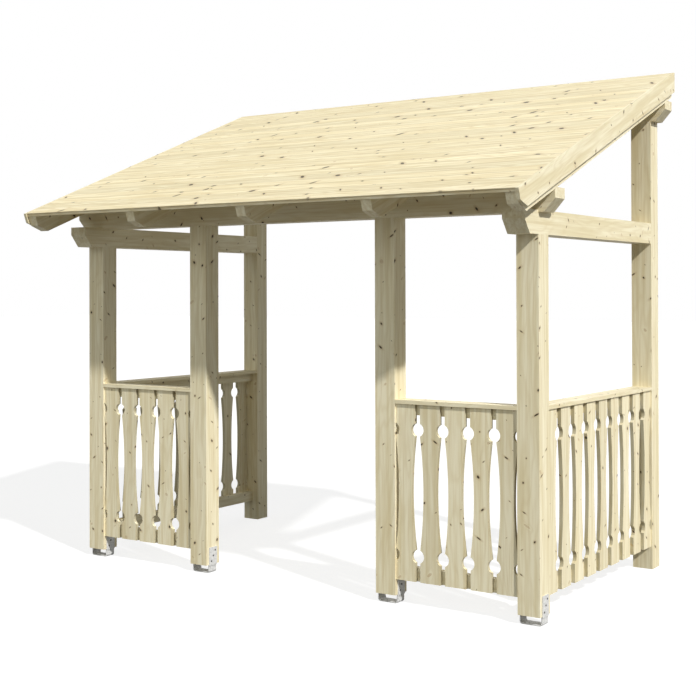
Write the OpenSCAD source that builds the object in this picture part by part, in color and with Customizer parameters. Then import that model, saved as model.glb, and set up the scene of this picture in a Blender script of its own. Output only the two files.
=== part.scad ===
/* [Post frame] */
// Width over the outer faces of the corner posts (mm)
width = 3052; // [2200:1:4200]
// Depth from the front face of the front posts to the back face of the rear posts (mm)
depth = 1738; // [1200:1:2600]
// Side of the square posts and beams (mm)
post = 120; // [90:1:160]
// Clear width of the doorway between the two middle posts (mm)
door_clear = 1164; // [800:1:1800]
// Height of the lower edge of the front posts above the ground (mm)
foot = 48; // [30:1:90]
// Top of the side beams above the lower edge of the front posts (mm)
beam_top = 2015; // [1800:1:2400]
// Depth of the housing that lets the front purlin into the side beams (mm)
housing = 10; // [4:1:30]
// Length of the side beam nose in front of the posts (mm)
beam_nose = 160; // [80:1:260]

/* [Roof] */
// Slope of the roof from the horizontal (degrees)
pitch = 20.8; // [12:0.1:28]
// Depth of the front birdsmouth at the front edge of the front purlin (mm)
seat_front = 11; // [5:0.5:22]
// Depth of the rear birdsmouth at the front edge of the rear purlin (mm)
seat_rear = 19; // [5:0.5:30]
// Rafter width (mm)
rafter_w = 60; // [45:1:80]
// Rafter depth square to the slope (mm)
rafter_d = 120; // [90:1:150]
// Overhang of the barge boards outside the posts (mm)
side_over = 107; // [90:1:250]
// Overhang of the deck in front of the posts, measured along the slope (mm)
front_over = 484; // [300:1:700]
// Deck board thickness (mm)
deck_t = 20; // [15:1:28]
// Number of deck boards up the slope
deck_n = 24; // [14:1:36]
// Barge board thickness (mm)
barge_t = 19; // [15:1:30]
// Barge board depth square to the slope (mm)
barge_d = 110; // [80:1:140]
// Length of the barge boards in front of the deck edge (mm)
barge_lead = 5; // [0:1:30]

/* [Balustrades] */
// Top of the cap boards above the lower edge of the front posts (mm)
cap_top = 1038; // [800:1:1200]
// Cap board thickness (mm)
cap_t = 20; // [15:1:35]
// Cap board width (mm)
cap_w = 118; // [90:1:120]
// Lower end of the balusters above the lower edge of the front posts (mm)
board_low = 85; // [40:1:160]
// Baluster width (mm)
board_w = 118; // [90:1:125]
// Baluster thickness (mm)
board_t = 20; // [15:1:28]
// Setback of the balusters from the outer face of the posts (mm)
board_set = 10; // [4:1:25]
// Balusters in each front bay
front_n = 5; // [3:1:6]
// Balusters in each side bay
side_n = 9; // [5:1:11]
// Radius of the round notches in the baluster edges (mm)
notch_r = 36; // [20:1:40]
// Depth of the round notches into the baluster edges (mm)
notch_depth = 22; // [10:1:26]
// Distance of the notch centres from the ends of the balusters (mm)
notch_end = 134; // [100:1:180]
// Depth of the long waist in the baluster edges (mm)
waist_depth = 20; // [8:0.5:26]
// Rail thickness behind the balusters (mm)
rail_t = 45; // [30:1:60]
// Top rail height (mm)
top_rail_h = 58; // [40:1:90]
// Bottom rail height (mm)
bottom_rail_h = 70; // [40:1:90]

/* [Post anchors] */
// Strap width (mm)
strap_w = 70; // [40:1:90]
// Strap thickness (mm)
strap_t = 5; // [4:0.5:8]
// Height of the strap legs beside the posts (mm)
strap_leg = 102; // [94:1:180]
// Outer radius of the lower bends (mm)
strap_r = 14; // [10:1:26]
// Radius of the screw holes in the legs (mm)
screw_r = 4; // [2.5:0.5:5]
// Height of the middle screw hole above the lower edge of the post (mm)
screw_mid = 52; // [44:1:60]
// Rise from each screw hole to the next (mm)
screw_rise = 31; // [16:1:36]
// Step across the leg from each screw hole to the next (mm)
screw_step = 17; // [0:1:22]
// Radius of the bolt holes in the base (mm)
bolt_r = 5.5; // [4:0.5:8]
// Spacing of the two bolt holes in each base (mm)
bolt_gap = 50; // [36:1:64]

/* [Hidden] */
$fn = 48;
x_left = -width / 2;
bay = (width - 4 * post - door_clear) / 2;
post_x = [x_left, x_left + post + bay, x_left + 2 * post + bay + door_clear, x_left + width - post];
rise = tan(pitch);
// The front faces of the front posts stand on the plane y = y_front
y_front = -(depth - (front_over + barge_lead) * cos(pitch)) / 2;
y_back = y_front + depth;
z_beam = foot + beam_top;
z_purlin = z_beam - housing;
// The underside of the rafters passes through this height above y_front
z_rafter = z_purlin + post - seat_front;
z_rear = z_rafter + (depth - post) * rise + seat_rear - post;
z_deck = z_rafter + (rafter_d + deck_t) / cos(pitch);
outer_x = width / 2 + side_over;
inner_x = outer_x - barge_t;
// Roof parts are drawn this long and then cut off at the back plane
long = 2 * depth;
rafter_n = 5;
// The cut under the end of a purlin, and under the nose of a side beam and a rafter
purlin_cut = [58, 66];
beam_cut = [60, 73];
rafter_cut = [68, 58];
barge_cut = [64, 52];
// Depth, height and distance below the upper face of the groove along the eaves edge of the deck
edge_groove = [6, 5, 4];
// Half width and depth of the grooves at the board joints, above and below
joint_top = [1.5, 2];
joint_under = [4, 3];
// Setback of the rafter ends behind the front edge of the deck
rafter_back = 10;
// Gap between the strap legs and the ends of the rails
rail_gap = 0.5;
// Cuts reach this far past the faces that they open
past = 1;
wood = [0.90, 0.84, 0.68];
pale = [0.93, 0.88, 0.73];
zinc = [0.66, 0.68, 0.70];

// Posts

module front_post(i, top) {
    color(wood)
        translate([post_x[i], y_front, foot])
            cube([post, post, top - foot]);
}

module rear_post(i) {
    color(wood)
        translate([post_x[i], y_back - post, 0])
            cube([post, post, z_rear]);
}

module front_post_left() {
    front_post(0, z_beam - post);
}

module front_post_middle_left() {
    front_post(1, z_purlin);
}

module front_post_middle_right() {
    front_post(2, z_purlin);
}

module front_post_right() {
    front_post(3, z_beam - post);
}

module rear_post_left() {
    rear_post(0);
}

module rear_post_right() {
    rear_post(3);
}

// Bent strap under a front post, drawn across the post and pushed along the depth

module strap_profile() {
    difference() {
        union() {
            translate([0, strap_r])
                square([post, foot - strap_r]);
            translate([strap_r, 0])
                square([post - 2 * strap_r, foot]);
            translate([strap_r, strap_r])
                circle(r = strap_r);
            translate([post - strap_r, strap_r])
                circle(r = strap_r);
            translate([-strap_t, foot - strap_t])
                square([post + 2 * strap_t, strap_t + strap_leg]);
        }
        translate([strap_t, strap_r])
            square([post - 2 * strap_t, foot]);
        translate([strap_r, strap_t])
            square([post - 2 * strap_r, foot]);
        translate([strap_r, strap_r])
            circle(r = strap_r - strap_t);
        translate([post - strap_r, strap_r])
            circle(r = strap_r - strap_t);
        translate([0, foot])
            square([post, strap_leg + past]);
    }
}

module anchor(i) {
    color(zinc)
        translate([post_x[i], y_front + post / 2, 0])
            difference() {
                rotate([90, 0, 0])
                    linear_extrude(height = strap_w, center = true)
                        strap_profile();
                for (k = [-1, 0, 1])
                    translate([-strap_t - past, k * screw_step, foot + screw_mid + k * screw_rise])
                        rotate([0, 90, 0])
                            cylinder(r = screw_r, h = post + 2 * (strap_t + past));
                for (k = [-1, 1])
                    translate([post / 2 + k * bolt_gap / 2, 0, -past])
                        cylinder(r = bolt_r, h = strap_t + 2 * past);
            }
}

module anchor_left() {
    anchor(0);
}

module anchor_middle_left() {
    anchor(1);
}

module anchor_middle_right() {
    anchor(2);
}

module anchor_right() {
    anchor(3);
}

// Beams and purlins, each with the lower corner of its nose cut away

module side_beam(i) {
    color(wood)
        difference() {
            translate([post_x[i], y_front, z_beam - post])
                rotate([90, 0, 90])
                    linear_extrude(height = post)
                        polygon([[beam_cut[0] - beam_nose, 0],
                            [depth - post, 0],
                            [depth - post, post],
                            [-beam_nose, post],
                            [-beam_nose, beam_cut[1]]]);
            translate([post_x[i] - past, y_front, z_purlin])
                cube([post + 2 * past, post, housing + past]);
        }
}

module side_beam_left() {
    side_beam(0);
}

module side_beam_right() {
    side_beam(3);
}

module purlin(y, z) {
    color(wood)
        translate([0, y + post, z])
            rotate([90, 0, 0])
                linear_extrude(height = post)
                    polygon([[-inner_x + purlin_cut[0], 0],
                        [inner_x - purlin_cut[0], 0],
                        [inner_x, purlin_cut[1]],
                        [inner_x, post],
                        [-inner_x, post],
                        [-inner_x, purlin_cut[1]]]);
}

module front_purlin() {
    purlin(y_front, z_purlin);
}

module rear_purlin() {
    purlin(y_back - post, z_rear);
}

// Roof parts are drawn in the slope: first number along the slope, second square to it

module in_slope(x, w) {
    translate([x, y_front, z_deck])
        rotate([90, 0, 90])
            linear_extrude(height = w)
                difference() {
                    rotate(pitch)
                        children();
                    translate([depth, -long])
                        square(2 * long);
                }
}

module rafter(k) {
    x = -inner_x + k * (2 * inner_x - rafter_w) / (rafter_n - 1);
    tip = rafter_back - front_over;
    color(wood)
        difference() {
            in_slope(x, rafter_w)
                polygon([[tip, -deck_t],
                    [long, -deck_t],
                    [long, -deck_t - rafter_d],
                    [tip + rafter_cut[0], -deck_t - rafter_d],
                    [tip, -deck_t - rafter_d + rafter_cut[1]]]);
            for (seat = [[y_front, z_purlin], [y_back - post, z_rear]])
                translate([x - past, seat[0], seat[1]])
                    cube([rafter_w + 2 * past, post, post]);
        }
}

module rafter_1() {
    rafter(0);
}

module rafter_2() {
    rafter(1);
}

module rafter_3() {
    rafter(2);
}

module rafter_4() {
    rafter(3);
}

module rafter_5() {
    rafter(4);
}

// Deck boards joined edge to edge, with a fine groove at each joint on both faces.
// The eaves board shows its groove along the front edge.

module deck_profile() {
    run = (depth / cos(pitch) + front_over) / deck_n;
    difference() {
        translate([-front_over, -deck_t])
            square([long, deck_t]);
        translate([-front_over - past, -edge_groove[2] - edge_groove[1]])
            square([past + edge_groove[0], edge_groove[1]]);
        for (k = [1 : deck_n - 1])
            translate([-front_over + k * run, 0]) {
                polygon([[-joint_top[0], past], [joint_top[0], past], [0, -joint_top[1]]]);
                translate([0, -deck_t])
                    polygon([[-joint_under[0], -past], [joint_under[0], -past], [0, joint_under[1]]]);
            }
    }
}

module roof_deck() {
    color(pale)
        in_slope(-inner_x, 2 * inner_x)
            deck_profile();
}

module barge(x) {
    tip = -barge_lead - front_over;
    color(wood)
        in_slope(x, barge_t)
            polygon([[tip, 0],
                [long, 0],
                [long, -barge_d],
                [tip + barge_cut[0], -barge_d],
                [tip, -barge_d + barge_cut[1]]]);
}

module barge_board_left() {
    barge(-outer_x);
}

module barge_board_right() {
    barge(inner_x);
}

// Balustrade bays are drawn along +x with the outer face of the posts at y = 0

module cap(span) {
    color(wood)
        translate([0, 0, foot + cap_top - cap_t])
            cube([span, cap_w, cap_t]);
}

module top_rail(span) {
    color(wood)
        translate([0, board_set + board_t, foot + cap_top - cap_t - top_rail_h])
            cube([span, rail_t, top_rail_h]);
}

// The ends of the front rails are relieved where they meet the strap legs

module bottom_rail(span, relief) {
    color(wood)
        difference() {
            translate([0, board_set + board_t, foot + board_low])
                cube([span, rail_t, bottom_rail_h]);
            for (x = [-past, span - relief])
                translate([x, 0, 0])
                    cube([past + relief, post, foot + strap_leg + rail_gap]);
        }
}

module baluster_outline() {
    tall = cap_top - cap_t - board_low;
    reach = tall / 2 - notch_end;
    inset = notch_r - notch_depth;
    // The waist ends this far from the middle, just clear of the notches
    arc = reach - sqrt(notch_r * notch_r - inset * inset) - past;
    big = (arc * arc + waist_depth * waist_depth) / (2 * waist_depth);
    difference() {
        square([board_w, tall]);
        for (side = [0, 1])
            translate([side * board_w, tall / 2]) {
                away = side == 0 ? -1 : 1;
                for (k = [-1, 1])
                    translate([away * inset, k * reach])
                        circle(r = notch_r);
                translate([away * (big - waist_depth), 0])
                    circle(r = big, $fn = 720);
            }
    }
}

module balusters(span, n) {
    gap = (span - board_w) / (n - 1);
    color(pale)
        for (k = [0 : n - 1])
            translate([k * gap, board_set + board_t, foot + board_low])
                rotate([90, 0, 0])
                    linear_extrude(height = board_t)
                        baluster_outline();
}

module front_bay(side) {
    x = side < 0 ? post_x[0] + post : post_x[2] + post;
    translate([x, y_front, 0])
        children();
}

module side_bay(side) {
    if (side > 0)
        translate([width / 2, y_front + post, 0])
            rotate([0, 0, 90])
                children();
    if (side < 0)
        translate([-width / 2, y_back - post, 0])
            rotate([0, 0, -90])
                children();
}

side_span = depth - 2 * post;

module front_left_cap() {
    front_bay(-1) cap(bay);
}

module front_left_top_rail() {
    front_bay(-1) top_rail(bay);
}

module front_left_bottom_rail() {
    front_bay(-1) bottom_rail(bay, strap_t + rail_gap);
}

module front_left_balusters() {
    front_bay(-1) balusters(bay, front_n);
}

module front_right_cap() {
    front_bay(1) cap(bay);
}

module front_right_top_rail() {
    front_bay(1) top_rail(bay);
}

module front_right_bottom_rail() {
    front_bay(1) bottom_rail(bay, strap_t + rail_gap);
}

module front_right_balusters() {
    front_bay(1) balusters(bay, front_n);
}

module side_left_cap() {
    side_bay(-1) cap(side_span);
}

module side_left_top_rail() {
    side_bay(-1) top_rail(side_span);
}

module side_left_bottom_rail() {
    side_bay(-1) bottom_rail(side_span, 0);
}

module side_left_balusters() {
    side_bay(-1) balusters(side_span, side_n);
}

module side_right_cap() {
    side_bay(1) cap(side_span);
}

module side_right_top_rail() {
    side_bay(1) top_rail(side_span);
}

module side_right_bottom_rail() {
    side_bay(1) bottom_rail(side_span, 0);
}

module side_right_balusters() {
    side_bay(1) balusters(side_span, side_n);
}

front_post_left();
front_post_middle_left();
front_post_middle_right();
front_post_right();
rear_post_left();
rear_post_right();
anchor_left();
anchor_middle_left();
anchor_middle_right();
anchor_right();
side_beam_left();
side_beam_right();
front_purlin();
rear_purlin();
rafter_1();
rafter_2();
rafter_3();
rafter_4();
rafter_5();
roof_deck();
barge_board_left();
barge_board_right();
front_left_cap();
front_left_top_rail();
front_left_bottom_rail();
front_left_balusters();
front_right_cap();
front_right_top_rail();
front_right_bottom_rail();
front_right_balusters();
side_left_cap();
side_left_top_rail();
side_left_bottom_rail();
side_left_balusters();
side_right_cap();
side_right_top_rail();
side_right_bottom_rail();
side_right_balusters();
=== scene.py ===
import math

import bmesh
import bpy
from mathutils import Matrix, Vector


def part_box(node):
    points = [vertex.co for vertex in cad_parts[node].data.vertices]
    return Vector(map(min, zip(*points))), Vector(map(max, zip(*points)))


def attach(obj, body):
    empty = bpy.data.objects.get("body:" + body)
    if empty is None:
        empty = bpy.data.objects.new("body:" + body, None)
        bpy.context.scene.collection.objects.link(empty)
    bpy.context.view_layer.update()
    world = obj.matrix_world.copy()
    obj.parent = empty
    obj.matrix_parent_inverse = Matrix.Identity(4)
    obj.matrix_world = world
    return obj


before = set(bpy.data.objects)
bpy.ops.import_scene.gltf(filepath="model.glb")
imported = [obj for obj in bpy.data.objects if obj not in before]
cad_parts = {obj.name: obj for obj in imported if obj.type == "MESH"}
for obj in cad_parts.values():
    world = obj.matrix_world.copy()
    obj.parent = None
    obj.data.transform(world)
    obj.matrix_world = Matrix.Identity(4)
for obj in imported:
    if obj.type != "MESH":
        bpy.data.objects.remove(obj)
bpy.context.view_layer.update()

# Sizes shared with the part, in metres and radians
PITCH = math.radians(20.8)
DECK_BOARDS = 24
BOARD_WIDTH = 0.118
FRONT_BOARDS = 5
SIDE_BOARDS = 9

# Widths of the eased edges, in metres, and the smallest turn of an edge that is eased
EASED_TIMBER = 0.0018
EASED_BOARD = 0.0012
EASED_DECK = 0.0008
EASED_ZINC = 0.0006
EASED_TURN = math.radians(35.0)

# Screws in the legs of the anchors, in metres: places, and rings of the head as radius, height and sides
SCREW_MIDDLE = 0.052
SCREW_RISE = 0.031
SCREW_STEP = 0.017
SCREW_STEPS = 24
SCREW_RINGS = (
    (0.0052, -0.0004, 0),
    (0.0052, 0.0008, 0),
    (0.0045, 0.0018, 0),
    (0.0032, 0.0022, 0),
    (0.0021, 0.0022, 6),
    (0.0019, 0.0008, 6),
)
# Screw heads are real parts; their near-black colour is painted shade, as of dark holes in the anchor legs
SCREW_PAINTED_SHADE_COLOUR = (0.028, 0.027, 0.028, 1.0)

# Hot-dip zinc: patches to the metre, and their darkest and palest colour
ZINC_PATCHES = 160.0
ZINC_DARK = (0.58, 0.575, 0.57)
ZINC_PALE = (0.72, 0.715, 0.70)

# Two looks of the wood: brightness, contrast of the grain, spacing of the places for dark knots along
# and across the grain, smallest and largest radius of these knots, and the share of places that has one
TIMBER = {"tone": 1.0, "figure": 1.0, "spacing": (0.15, 0.07), "knot": (0.0017, 0.0078), "share": 0.62}
DECKING = {"tone": 1.06, "figure": 2.3, "spacing": (0.26, 0.09), "knot": (0.0050, 0.0160), "share": 0.50}

# Colour of the wood, and its pale, warm and late wood as shares of that colour
BASE_WOOD = (0.84, 0.765, 0.550)
PALE_SHARE = (1.05, 1.06, 1.09)
WARM_SHARE = (0.90, 0.87, 0.79)
LATE_SHARE = (0.80, 0.73, 0.60)
WOOD_ROUGHNESS = 0.62
WOOD_SPECULAR = 0.25

# Growth rings: how far they wander and tilt, turns to the metre, sharpness, and the bend at sound knots
RING_WANDER = 0.34
RING_TILT = 0.6
RING_TURNS = 260.0
RING_SHARPNESS = 2.2
RING_STRENGTH = 0.30
BEND_HEIGHT = 0.03
BEND_FADE = 0.45
BEND_BASE = 2.718

# Noises of the grain: stretch along the three axes and detail
WANDER_NOISE = ((0.9, 5.0, 5.0), 3.0)
STREAK_NOISE = ((1.5, 34.0, 34.0), 5.0)
FINE_NOISE = ((2.8, 90.0, 90.0), 2.0)
FIBRE_NOISE = ((9.0, 420.0, 420.0), 2.0)
STREAK_RANGE = (0.33, 0.60)
FINE_RANGE = (0.45, 0.75)
FINE_STRENGTH = 0.55
FIBRE_STRENGTH = 0.10
BUMP_STRENGTH = 0.12
BUMP_HEIGHT = 0.0006

# Shift of the texture to the next piece and the next board, and steps that keep faces apart
SEED_SHIFT = (1.37, 0.71, 0.43)
BOARD_SHIFT = (7.0, 3.0, 3.0)
FACE_STEPS = (3.7, 1.3)
KNOT_FACE_STEPS = (17.3, 5.9)
KNOT_SEED_STEPS = (3.1, 1.7)

# Knots: squeeze along the grain, range of the lean, rarity of large ones, and the ragged rim
KNOT_SQUEEZE = 0.85
KNOT_LEAN = 3.2
KNOT_LARGE_POWER = 1.8
KNOT_RAGGED = 260
KNOT_RAGGED_LOW = 0.55

# Sound brown knots: their places as multiples of those of the dark ones, radii, share and seed
SOUND_SPREAD = (1.7, 1.5)
SOUND_KNOT = (0.0045, 0.0095)
SOUND_SHARE = 0.34
SOUND_SEED = 40

# Layers of a knot: colour, scale of the distance in knot radii, and stops as place and strength
SOUND_LAYER = ((0.50, 0.345, 0.17), 0.5, ((0.0, 0.55), (0.38, 0.40), (0.50, 0.75), (0.62, 0.0)))
HALO_LAYER = ((0.60, 0.47, 0.27), 0.3, ((0.30, 0.65), (0.95, 0.0)))
HEART_LAYER = ((0.032, 0.020, 0.010), 0.5, ((0.42, 0.94), (0.62, 0.0)))

# Boards: spread and least of the tone of one board, lines at the joints, and painted shade on the edge
# faces that look into the gaps between boards
BOARD_TONE = (0.11, 0.925)
JOINT_REACH = 0.005
JOINT_COLOUR = (0.42, 0.33, 0.18)
JOINT_DEPTH = (0.6, 0.2)
# Painted shade: colour share and least facing of the board edges that look into the gaps
GAP_EDGE_PAINTED_SHADE = (0.66, 0.66, 0.64)
GAP_EDGE_FACING = 0.8

# Floor, which shows the camera a white ground with a faint shadow
FLOOR_SIZE = 120.0
FLOOR_DROP = -0.001
FLOOR_COLOUR = (0.18, 0.18, 0.18, 1.0)
FLOOR_SEEN_COLOUR = (0.30, 0.30, 0.30, 1.0)
FLOOR_SEEN_GLOW = 0.80

# World light, and distant lamps as name, strength, spread in degrees, colour and the way to the lamp
WHITE = (1.0, 1.0, 1.0, 1.0)
SKY_COLOUR = (0.97, 0.98, 1.0, 1.0)
SKY_STRENGTH = 0.05
LAMPS = (
    ("key", 3.65, 2.0, (1.0, 0.995, 0.975), (0.717, -0.297, 0.631)),
    ("fill_front", 0.72, 50.0, (0.98, 1.0, 0.95), (0.10, -1.0, 0.45)),
    ("fill_left", 0.38, 60.0, (0.94, 1.0, 0.99), (-1.0, -0.7, 0.4)),
    ("fill_back", 0.50, 60.0, (0.95, 1.0, 0.99), (0.7, 0.7, 0.4)),
    ("fill_wall", 0.95, 40.0, (1.0, 0.99, 0.96), (-0.15, 1.0, 0.34)),
)

# Camera solved from the photograph: place in metres, turns in radians, focal length and centre in pixels
IMAGE = 696
EYE = Vector((4.1409, -6.4976, 1.6615))
EYE_YAW = 0.6172
EYE_PITCH = 0.0081
EYE_ROLL = -0.0025
EYE_FOCAL_PX = 1273.56
EYE_CENTRE_PX = (284.04, 281.28)
SENSOR_MM = 36.0
FAR_END = 200.0


def make_camera():
    look = Vector((
        -math.sin(EYE_YAW) * math.cos(EYE_PITCH),
        math.cos(EYE_YAW) * math.cos(EYE_PITCH),
        math.sin(EYE_PITCH),
    ))
    level = Vector((math.cos(EYE_YAW), math.sin(EYE_YAW), 0.0))
    upright = level.cross(look)
    right = level * math.cos(EYE_ROLL) + upright * math.sin(EYE_ROLL)
    up = -level * math.sin(EYE_ROLL) + upright * math.cos(EYE_ROLL)
    data = bpy.data.cameras.new("camera")
    data.sensor_width = SENSOR_MM
    data.lens = EYE_FOCAL_PX * SENSOR_MM / IMAGE
    data.shift_x = (IMAGE / 2 - EYE_CENTRE_PX[0]) / IMAGE
    data.shift_y = (EYE_CENTRE_PX[1] - IMAGE / 2) / IMAGE
    data.clip_end = FAR_END
    cam = bpy.data.objects.new("camera", data)
    turn = Matrix((right, up, -look)).transposed().to_4x4()
    cam.matrix_world = Matrix.Translation(EYE) @ turn
    bpy.context.scene.collection.objects.link(cam)
    bpy.context.scene.camera = cam


class Nodes:
    """Short calls for building a node tree."""

    def __init__(self, tree):
        self.tree = tree

    def add(self, kind, **settings):
        n = self.tree.nodes.new(kind)
        for key, value in settings.items():
            setattr(n, key, value)
        return n

    def link(self, a, b):
        self.tree.links.new(a, b)

    def math(self, operation, a, b=None, c=None):
        n = self.add("ShaderNodeMath", operation=operation)
        for i, value in enumerate((a, b, c)):
            if value is None:
                continue
            if isinstance(value, (int, float)):
                n.inputs[i].default_value = value
            else:
                self.link(value, n.inputs[i])
        return n.outputs[0]

    def vector(self, operation, a, b):
        n = self.add("ShaderNodeVectorMath", operation=operation)
        for i, value in enumerate((a, b)):
            if isinstance(value, tuple):
                n.inputs[i].default_value = value
            else:
                self.link(value, n.inputs[i])
        return n.outputs["Value" if operation in ("LENGTH", "DOT_PRODUCT") else "Vector"]

    def parts(self, vector):
        n = self.add("ShaderNodeSeparateXYZ")
        self.link(vector, n.inputs[0])
        return n.outputs

    def join(self, x, y, z=0.0):
        n = self.add("ShaderNodeCombineXYZ")
        for i, value in enumerate((x, y, z)):
            if isinstance(value, (int, float)):
                n.inputs[i].default_value = value
            else:
                self.link(value, n.inputs[i])
        return n.outputs[0]

    def noise(self, vector, detail):
        n = self.add("ShaderNodeTexNoise", noise_dimensions="3D")
        n.inputs["Scale"].default_value = 1.0
        n.inputs["Detail"].default_value = detail
        self.link(vector, n.inputs["Vector"])
        return n.outputs["Fac"]

    def ramp(self, value, stops):
        n = self.add("ShaderNodeValToRGB")
        n.color_ramp.interpolation = "EASE"
        while len(n.color_ramp.elements) < len(stops):
            n.color_ramp.elements.new(0.5)
        for element, (place, colour) in zip(n.color_ramp.elements, stops):
            element.position = place
            element.color = (*colour, 1.0)
        self.link(value, n.inputs["Fac"])
        return n.outputs["Color"]

    def mix(self, factor, a, b, blend="MIX"):
        n = self.add("ShaderNodeMix", data_type="RGBA", blend_type=blend)
        for socket, value in ((n.inputs["Factor"], factor), (n.inputs["A"], a), (n.inputs["B"], b)):
            if isinstance(value, (int, float)):
                socket.default_value = value
            elif isinstance(value, tuple):
                socket.default_value = (*value, 1.0)
            else:
                self.link(value, socket)
        return n.outputs["Result"]

    def mapped(self, vector, scale, shift=(0, 0, 0), turn=(0, 0, 0)):
        n = self.add("ShaderNodeMapping")
        n.inputs["Location"].default_value = shift
        n.inputs["Rotation"].default_value = turn
        n.inputs["Scale"].default_value = scale
        self.link(vector, n.inputs["Vector"])
        return n.outputs["Vector"]


class MaterialNodes(Nodes):
    """The node tree of a new material."""

    def __init__(self, name):
        self.material = bpy.data.materials.new(name)
        self.material.use_nodes = True
        super().__init__(self.material.node_tree)
        self.shader = self.tree.nodes["Principled BSDF"]
        self.output = self.tree.nodes["Material Output"]


def white_rays(n):
    """1 on the rays that see a plain white ground: from the camera, a shiny face or glass."""
    ray = n.add("ShaderNodeLightPath")
    seen = n.math("MAXIMUM", ray.outputs["Is Camera Ray"], ray.outputs["Is Glossy Ray"])
    return n.math("MAXIMUM", seen, ray.outputs["Is Transmission Ray"])


# Turns that bring the grain of a piece onto the first axis of its wood texture
GRAIN = {
    "x": (0.0, 0.0, 0.0),
    "y": (0.0, 0.0, -math.pi / 2),
    "z": (0.0, math.pi / 2, 0.0),
    "slope": (-PITCH, 0.0, -math.pi / 2),
}


def board_shift(n, place, rows):
    """Noise that is the same all over one board, and the distance from the nearest edge of the board."""
    axis, first, run = rows
    split = n.parts(place)
    if axis == "slope":
        reach = n.math("MULTIPLY", split["Y"], math.cos(PITCH))
        reach = n.math("MULTIPLY_ADD", split["Z"], math.sin(PITCH), reach)
    else:
        reach = split[axis.upper()]
    count = n.math("DIVIDE", n.math("SUBTRACT", reach, first), run)
    index = n.math("FLOOR", count)
    noise = n.add("ShaderNodeTexWhiteNoise", noise_dimensions="1D")
    n.link(index, noise.inputs["W"])
    middle = n.math("ABSOLUTE", n.math("SUBTRACT", n.math("SUBTRACT", count, index), 0.5))
    return noise, n.math("MULTIPLY", n.math("SUBTRACT", 0.5, middle), run)


def face_plane(n, turned, grain):
    """Two coordinates on the face that is shaded, along and across the grain, and a number for the face."""
    normal = n.add("ShaderNodeTexCoord").outputs["Normal"]
    normal = n.parts(n.mapped(normal, (1, 1, 1), turn=GRAIN[grain]))
    flat = n.math("GREATER_THAN", n.math("ABSOLUTE", normal[1]), n.math("ABSOLUTE", normal[2]))
    axes = n.parts(turned)
    swing = n.math("MULTIPLY", flat, n.math("SUBTRACT", axes[2], axes[1]))
    across = n.math("ADD", axes[1], swing)
    side = n.math("SIGN", n.math("ADD", normal[1], normal[2]))
    face = n.math("MULTIPLY_ADD", flat, FACE_STEPS[0], n.math("MULTIPLY", side, FACE_STEPS[1]))
    return axes[0], across, face


def knots(n, plane, seed, spacing, sizes, share):
    """Distance from the nearest knot in knot radii, and 1 where that knot shows."""
    along, across, face = plane
    u = n.math("MULTIPLY_ADD", along, 1 / spacing[0], seed * KNOT_SEED_STEPS[0])
    u = n.math("MULTIPLY_ADD", face, KNOT_FACE_STEPS[0], u)
    v = n.math("MULTIPLY_ADD", across, 1 / spacing[1], seed * KNOT_SEED_STEPS[1])
    v = n.math("MULTIPLY_ADD", face, KNOT_FACE_STEPS[1], v)
    place = n.join(u, v)
    cell = n.add("ShaderNodeTexVoronoi", voronoi_dimensions="2D", feature="F1")
    cell.inputs["Scale"].default_value = 1.0
    cell.inputs["Randomness"].default_value = 1.0
    n.link(place, cell.inputs["Vector"])
    away = n.vector("SUBTRACT", place, cell.outputs["Position"])
    away = n.vector("MULTIPLY", away, (spacing[0] * KNOT_SQUEEZE, spacing[1], 0.0))
    chance = n.add("ShaderNodeSeparateColor")
    n.link(cell.outputs["Color"], chance.inputs[0])
    large = n.math("POWER", chance.outputs[0], KNOT_LARGE_POWER)
    radius = n.math("MULTIPLY_ADD", large, sizes[1] - sizes[0], sizes[0])
    lean = n.math("MULTIPLY_ADD", chance.outputs[2], KNOT_LEAN, -KNOT_LEAN / 2)
    offset = n.parts(away)
    away = n.join(offset[0], n.math("MULTIPLY_ADD", lean, offset[0], offset[1]))
    rough = n.vector("MULTIPLY", place, (spacing[0] * KNOT_RAGGED, spacing[1] * KNOT_RAGGED, 1.0))
    ragged = n.math("ADD", n.noise(rough, 2.0), KNOT_RAGGED_LOW)
    away = n.math("MULTIPLY", n.vector("LENGTH", away, (0, 0, 0)), ragged)
    return n.math("DIVIDE", away, radius), n.math("LESS_THAN", chance.outputs[1], share)


def knot_layer(n, colour, distance, shown, layer):
    """Lays one layer of a knot over the colour."""
    tint, scale, stops = layer
    strength = n.ramp(n.math("MULTIPLY", distance, scale), [(place, (v,) * 3) for place, v in stops])
    return n.mix(n.math("MULTIPLY", strength, shown), colour, tint)


def growth_rings(n, turned, shift, sound, sound_shown):
    """Late wood of the growth rings, which bend round the sound knots."""
    wander = n.noise(n.mapped(turned, WANDER_NOISE[0], shift), WANDER_NOISE[1])
    axes = n.parts(n.mapped(turned, (1, 1, 1), shift))
    ring = n.math("MULTIPLY_ADD", axes[2], RING_TILT, axes[1])
    ring = n.math("MULTIPLY_ADD", wander, RING_WANDER, ring)
    near = n.math("POWER", BEND_BASE, n.math("MULTIPLY", sound, -BEND_FADE))
    ring = n.math("MULTIPLY_ADD", n.math("MULTIPLY", near, sound_shown), BEND_HEIGHT, ring)
    wave = n.math("SINE", n.math("MULTIPLY", ring, RING_TURNS))
    return n.math("POWER", n.math("MULTIPLY_ADD", wave, 0.5, 0.5), RING_SHARPNESS)


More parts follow.
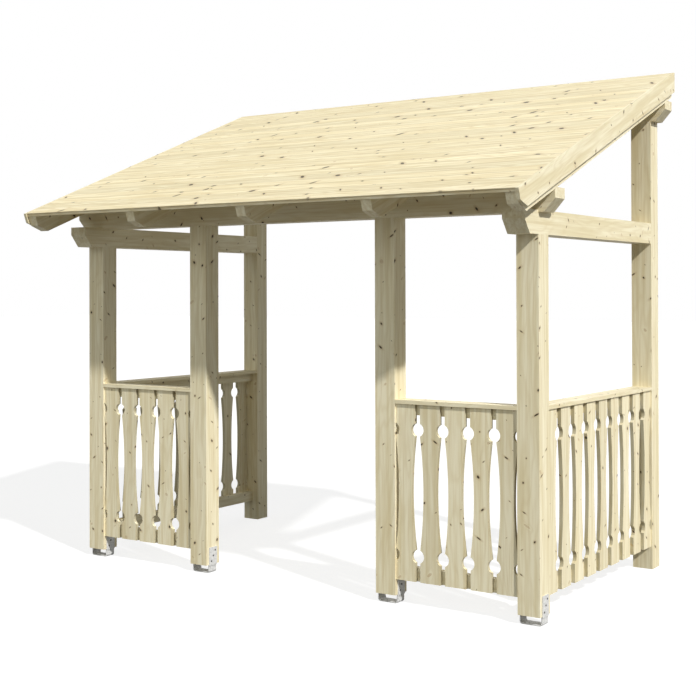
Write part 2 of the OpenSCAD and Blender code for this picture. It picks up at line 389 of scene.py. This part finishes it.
def grain_colour(n, turned, shift, ring, look):
    """Colour of the clear wood, and its fine fibres."""
    streak, fine, fibre = (
        n.noise(n.mapped(turned, stretch, shift), detail)
        for stretch, detail in (STREAK_NOISE, FINE_NOISE, FIBRE_NOISE)
    )
    pale, warm, late = (
        tuple(look["tone"] * v * f for v, f in zip(BASE_WOOD, share))
        for share in (PALE_SHARE, WARM_SHARE, LATE_SHARE)
    )
    colour = n.ramp(streak, [(STREAK_RANGE[0], warm), (STREAK_RANGE[1], pale)])
    colour = n.mix(n.math("MULTIPLY", ring, RING_STRENGTH * look["figure"]), colour, late)
    strongest = FINE_STRENGTH * look["figure"]
    dark = n.ramp(fine, [(FINE_RANGE[0], (0, 0, 0)), (FINE_RANGE[1], (strongest,) * 3)])
    colour = n.mix(dark, colour, late)
    return n.mix(n.math("MULTIPLY", fibre, FIBRE_STRENGTH), colour, late), fibre


def paint_shade_on_gap_edges(n, colour, axis):
    """Paints shade on the edge faces of upright boards that stand in a row along an axis, where these faces
    lie in the shade of the gaps between the boards.
    """
    normal = n.parts(n.add("ShaderNodeTexCoord").outputs["Normal"])
    aside = n.math("ABSOLUTE", normal[axis.upper()])
    shaded = n.mix(1.0, colour, GAP_EDGE_PAINTED_SHADE, "MULTIPLY")
    return n.mix(n.math("GREATER_THAN", aside, GAP_EDGE_FACING), colour, shaded)


def board_tones(n, colour, own_tone, edge):
    """Gives each board a tone of its own and a dark line at its edges."""
    shade = n.math("MULTIPLY_ADD", own_tone, *BOARD_TONE)
    colour = n.mix(1.0, colour, n.join(shade, shade, shade), "MULTIPLY")
    joint = n.ramp(n.math("DIVIDE", edge, JOINT_REACH), [(0.0, (1, 1, 1)), (1.0, (0, 0, 0))])
    depth = n.math("MULTIPLY_ADD", own_tone, *JOINT_DEPTH)
    return n.mix(n.math("MULTIPLY", joint, depth), colour, JOINT_COLOUR)


def wood(name, grain, seed, rows=None, look=TIMBER, painted_gap_shade=False):
    """Planed spruce: growth rings along the grain, fine fibres, small dark knots and sound brown ones.

    Rows tells the boards of one piece apart, as the axis across them, the first edge and the run.
    """
    n = MaterialNodes(name)
    place = n.add("ShaderNodeTexCoord").outputs["Object"]
    turned = n.mapped(place, (1, 1, 1), turn=GRAIN[grain])
    if rows:
        board, edge = board_shift(n, place, rows)
        turned = n.vector("ADD", turned, n.mapped(board.outputs["Color"], BOARD_SHIFT))
    shift = tuple(seed * step for step in SEED_SHIFT)
    plane = face_plane(n, turned, grain)
    spacing = look["spacing"]
    dead, dead_shown = knots(n, plane, seed, spacing, look["knot"], look["share"])
    wide = tuple(s * f for s, f in zip(spacing, SOUND_SPREAD))
    sound, sound_shown = knots(n, plane, seed + SOUND_SEED, wide, SOUND_KNOT, SOUND_SHARE)

    ring = growth_rings(n, turned, shift, sound, sound_shown)
    colour, fibre = grain_colour(n, turned, shift, ring, look)
    # Painted shade on the edge faces that look into the gaps between boards
    if painted_gap_shade:
        colour = paint_shade_on_gap_edges(n, colour, rows[0])
    if rows:
        colour = board_tones(n, colour, board.outputs["Value"], edge)
    colour = knot_layer(n, colour, sound, sound_shown, SOUND_LAYER)
    colour = knot_layer(n, colour, dead, dead_shown, HALO_LAYER)
    colour = knot_layer(n, colour, dead, dead_shown, HEART_LAYER)
    n.link(colour, n.shader.inputs["Base Color"])
    n.shader.inputs["Roughness"].default_value = WOOD_ROUGHNESS
    n.shader.inputs["Specular IOR Level"].default_value = WOOD_SPECULAR

    bump = n.add("ShaderNodeBump")
    bump.inputs["Strength"].default_value = BUMP_STRENGTH
    bump.inputs["Distance"].default_value = BUMP_HEIGHT
    n.link(n.math("ADD", fibre, ring), bump.inputs["Height"])
    n.link(bump.outputs[0], n.shader.inputs["Normal"])
    return n.material


def galvanised(name):
    """Hot-dip zinc: a soft metal with faint grey patches."""
    n = MaterialNodes(name)
    patch = n.add("ShaderNodeTexVoronoi", voronoi_dimensions="3D", feature="F1")
    patch.inputs["Scale"].default_value = ZINC_PATCHES
    n.link(n.add("ShaderNodeTexCoord").outputs["Object"], patch.inputs["Vector"])
    tone = n.add("ShaderNodeSeparateColor")
    n.link(patch.outputs["Color"], tone.inputs[0])
    n.link(n.ramp(tone.outputs[0], [(0.0, ZINC_DARK), (1.0, ZINC_PALE)]), n.shader.inputs["Base Color"])
    n.shader.inputs["Metallic"].default_value = 0.10
    n.shader.inputs["Roughness"].default_value = 0.60
    n.shader.inputs["Specular IOR Level"].default_value = 0.15
    return n.material


def screw_steel_painted_shade():
    """Steel of the screw heads, near black as painted shade of the holes in the anchor legs."""
    n = MaterialNodes("screw_steel_painted_shade")
    n.shader.inputs["Base Color"].default_value = SCREW_PAINTED_SHADE_COLOUR
    n.shader.inputs["Metallic"].default_value = 0.5
    n.shader.inputs["Roughness"].default_value = 0.55
    return n.material


def screw_radius(radius, sides, turn):
    """Radius at a turn of a round outline, or of one with straight sides."""
    if not sides:
        return radius
    part = math.pi / sides
    return radius * math.cos(part) / math.cos(turn % (2 * part) - part)


def screw_head(mesh, seat, outward):
    """A flat round head with a six-sided recess, lathed about the x axis from its seat outwards."""
    rings = []
    for radius, height, sides in SCREW_RINGS:
        ring = []
        for k in range(SCREW_STEPS):
            turn = 2 * math.pi * k / SCREW_STEPS
            r = screw_radius(radius, sides, turn)
            corner = Vector((outward * height, r * math.cos(turn), r * math.sin(turn)))
            ring.append(mesh.verts.new(seat + corner))
        rings.append(ring)
    for low, high in zip(rings, rings[1:]):
        for k in range(SCREW_STEPS):
            j = (k + 1) % SCREW_STEPS
            corners = (low[k], low[j], high[j], high[k])
            mesh.faces.new(corners if outward > 0 else corners[::-1])
    mesh.faces.new(rings[-1] if outward > 0 else rings[-1][::-1])
    mesh.faces.new(rings[0][::-1] if outward > 0 else rings[0])


def make_screws():
    """Three screws through each leg of each anchor into the post."""
    steel = screw_steel_painted_shade()
    for side in ("left", "middle_left", "middle_right", "right"):
        low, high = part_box("anchor_" + side)
        middle = (low.y + high.y) / 2
        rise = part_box("front_post_" + side)[0].z + SCREW_MIDDLE
        mesh = bmesh.new()
        for x, outward in ((low.x, -1), (high.x, 1)):
            for k in (-1, 0, 1):
                seat = Vector((x, middle + k * SCREW_STEP, rise + k * SCREW_RISE))
                screw_head(mesh, seat, outward)
        data = bpy.data.meshes.new("screws_" + side)
        mesh.to_mesh(data)
        mesh.free()
        data.materials.append(steel)
        screws = bpy.data.objects.new("screws_" + side, data)
        bpy.context.scene.collection.objects.link(screws)
        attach(screws, "root")


def dress(name, material, ease=EASED_TIMBER):
    """Gives a CAD node its finish and eases its sharp edges a little."""
    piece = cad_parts[name]
    piece.data.materials.clear()
    piece.data.materials.append(material)
    edge = piece.modifiers.new("eased_edges", "BEVEL")
    edge.width = ease
    edge.segments = 2
    edge.limit_method = "ANGLE"
    edge.angle_limit = EASED_TURN


def dress_deck(name, seed):
    """Roof boards that run along x, in rows up the slope."""
    low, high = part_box(name)
    first = low.y * math.cos(PITCH) + low.z * math.sin(PITCH)
    run = (high.y - low.y) / math.cos(PITCH) / DECK_BOARDS
    dress(name, wood("wood_" + name, "x", seed, ("slope", first, run), DECKING), EASED_DECK)


def dress_balusters(name, seed):
    """Upright boards, in a row along the front or along a side."""
    low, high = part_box(name)
    if name.startswith("front"):
        axis, count, start, end = "x", FRONT_BOARDS, low.x, high.x
    else:
        axis, count, start, end = "y", SIDE_BOARDS, low.y, high.y
    run = (end - start - BOARD_WIDTH) / (count - 1)
    first = start - (run - BOARD_WIDTH) / 2
    # The boards get painted shade on their edge faces in the gaps
    dress(name, wood("wood_" + name, "z", seed, (axis, first, run), painted_gap_shade=True), EASED_BOARD)


def grain_of(name):
    """Axis along the grain of a timber: its own length."""
    if name.startswith(("front_post", "rear_post")):
        return "z"
    if name.startswith(("rafter", "barge")):
        return "slope"
    if name.endswith("purlin") or name.startswith("front"):
        return "x"
    return "y"


def dress_all():
    for seed, name in enumerate(sorted(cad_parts), 1):
        if name.startswith("anchor"):
            dress(name, galvanised("zinc_" + name), EASED_ZINC)
        elif name == "roof_deck":
            dress_deck(name, seed)
        elif name.endswith("balusters"):
            dress_balusters(name, seed)
        else:
            dress(name, wood("wood_" + name, grain_of(name), seed))


def make_floor():
    """A floor, grey to the lamps and near white to the camera, that keeps a faint shadow."""
    bpy.ops.mesh.primitive_plane_add(size=FLOOR_SIZE, location=(0.0, 0.0, FLOOR_DROP))
    floor = bpy.context.object
    floor.name = "floor"
    n = MaterialNodes("floor_paint")
    n.shader.inputs["Base Color"].default_value = FLOOR_COLOUR
    n.shader.inputs["Roughness"].default_value = 1.0
    n.shader.inputs["Specular IOR Level"].default_value = 0.0
    pale = n.add("ShaderNodeBsdfDiffuse")
    pale.inputs["Color"].default_value = FLOOR_SEEN_COLOUR
    glow = n.add("ShaderNodeEmission")
    glow.inputs["Color"].default_value = WHITE
    glow.inputs["Strength"].default_value = FLOOR_SEEN_GLOW
    shown = n.add("ShaderNodeAddShader")
    n.link(pale.outputs[0], shown.inputs[0])
    n.link(glow.outputs[0], shown.inputs[1])
    choice = n.add("ShaderNodeMixShader")
    n.link(white_rays(n), choice.inputs[0])
    n.link(n.shader.outputs[0], choice.inputs[1])
    n.link(shown.outputs[0], choice.inputs[2])
    n.link(choice.outputs[0], n.output.inputs["Surface"])
    floor.data.materials.append(n.material)


def distant_lamp(name, energy, spread, colour, toward):
    data = bpy.data.lights.new(name, "SUN")
    data.energy = energy
    data.angle = math.radians(spread)
    data.color = colour
    lamp = bpy.data.objects.new(name, data)
    lamp.rotation_euler = Vector(toward).to_track_quat("Z", "Y").to_euler()
    bpy.context.scene.collection.objects.link(lamp)


def make_light():
    """A faint sky that the camera sees as plain white, one sun and four wide soft fills."""
    world = bpy.data.worlds.new("studio")
    world.use_nodes = True
    bpy.context.scene.world = world
    n = Nodes(world.node_tree)
    sky = n.tree.nodes["Background"]
    sky.inputs["Color"].default_value = SKY_COLOUR
    sky.inputs["Strength"].default_value = SKY_STRENGTH
    plain = n.add("ShaderNodeBackground")
    plain.inputs["Color"].default_value = WHITE
    plain.inputs["Strength"].default_value = 1.0
    choice = n.add("ShaderNodeMixShader")
    n.link(white_rays(n), choice.inputs[0])
    n.link(sky.outputs[0], choice.inputs[1])
    n.link(plain.outputs[0], choice.inputs[2])
    n.link(choice.outputs[0], n.tree.nodes["World Output"].inputs["Surface"])
    for lamp in LAMPS:
        distant_lamp(*lamp)


make_camera()
dress_all()
make_screws()
make_floor()
make_light()
bpy.context.scene.view_settings.view_transform = "Standard"
